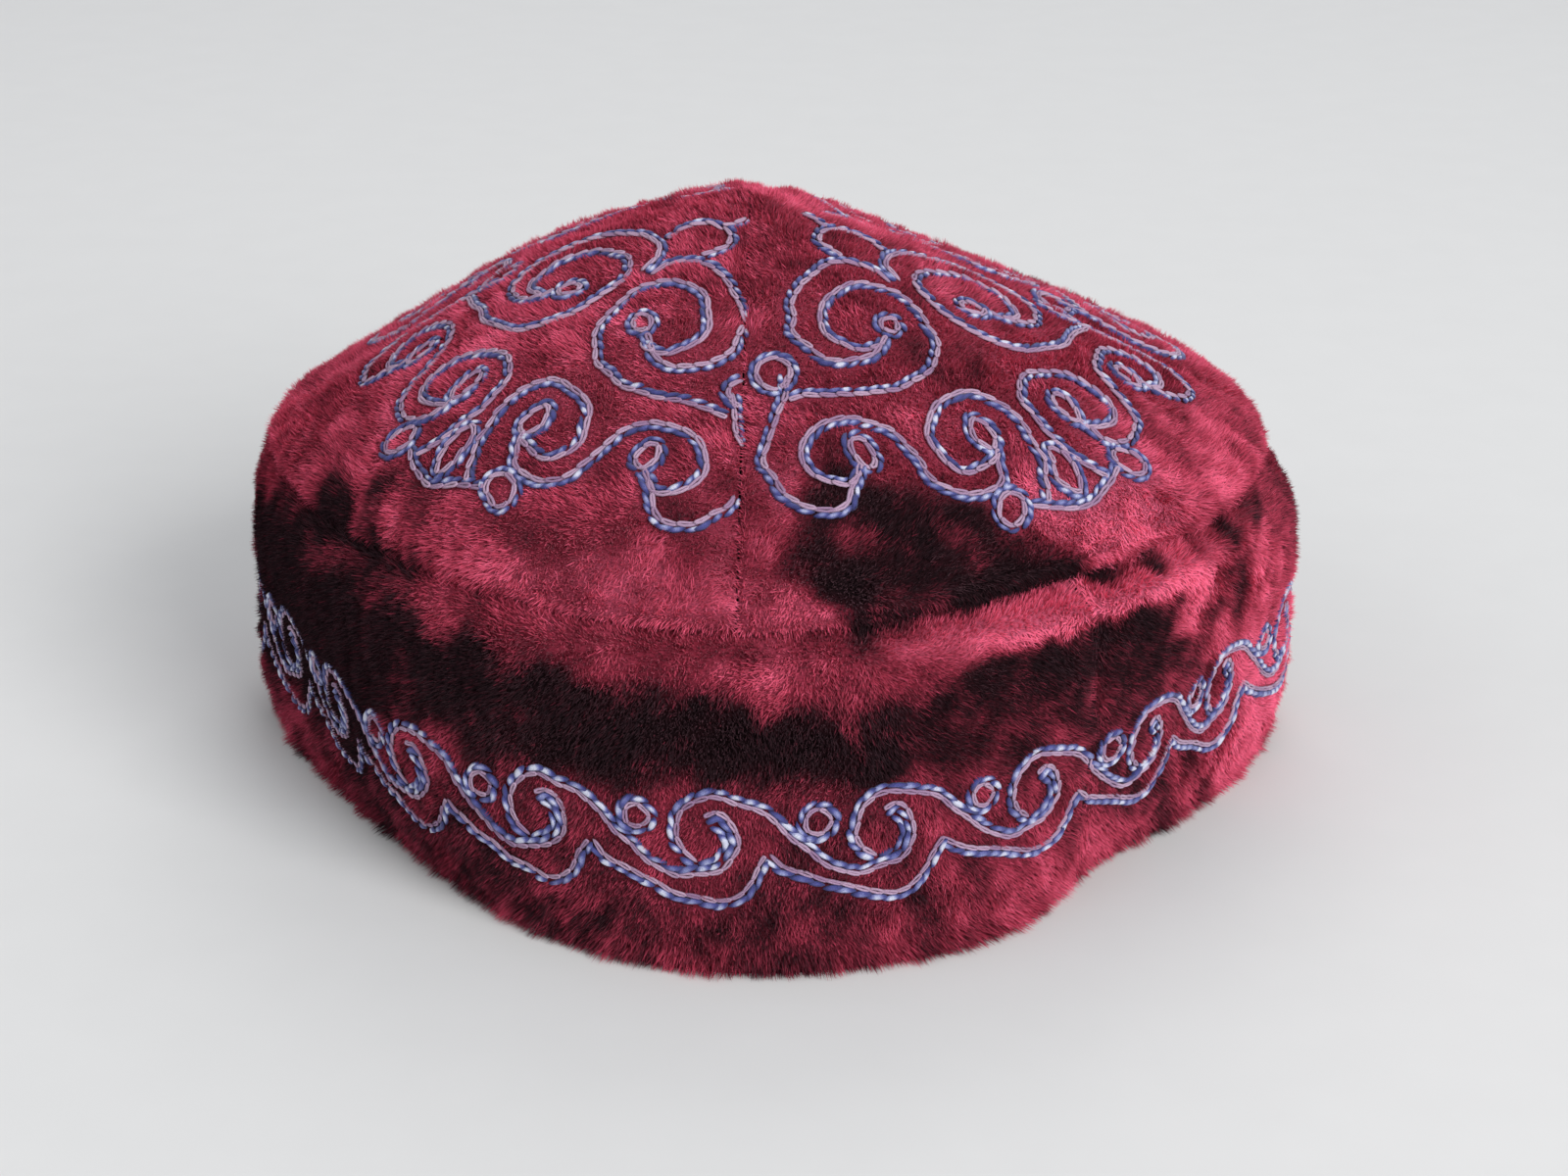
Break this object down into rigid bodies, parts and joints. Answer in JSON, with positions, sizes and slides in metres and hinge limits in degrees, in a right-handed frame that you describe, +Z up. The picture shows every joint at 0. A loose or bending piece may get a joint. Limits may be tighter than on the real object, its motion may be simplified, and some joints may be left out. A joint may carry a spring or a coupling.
{
  "type": "tubeteika skullcap",
  "caption": "Soft velvet skullcap with a gently pointed crown of triangular gores sewn to a tall straight band, worn on the head.",
  "frame": {"origin": "centre of the rim in the plane it rests on", "axes": "+Z up towards the top of the crown, -Y towards the front crown seam, +X to the viewer's right"},
  "size_m": [0.1984, 0.2012, 0.1034],
  "materials": {
    "velvet": "matte"
  },
  "bodies": {
    "root": {"gore_front_right": "velvet", "gore_back_right": "velvet", "gore_back_left": "velvet", "gore_front_left": "velvet", "band": "velvet"}
  },
  "joints": []
}
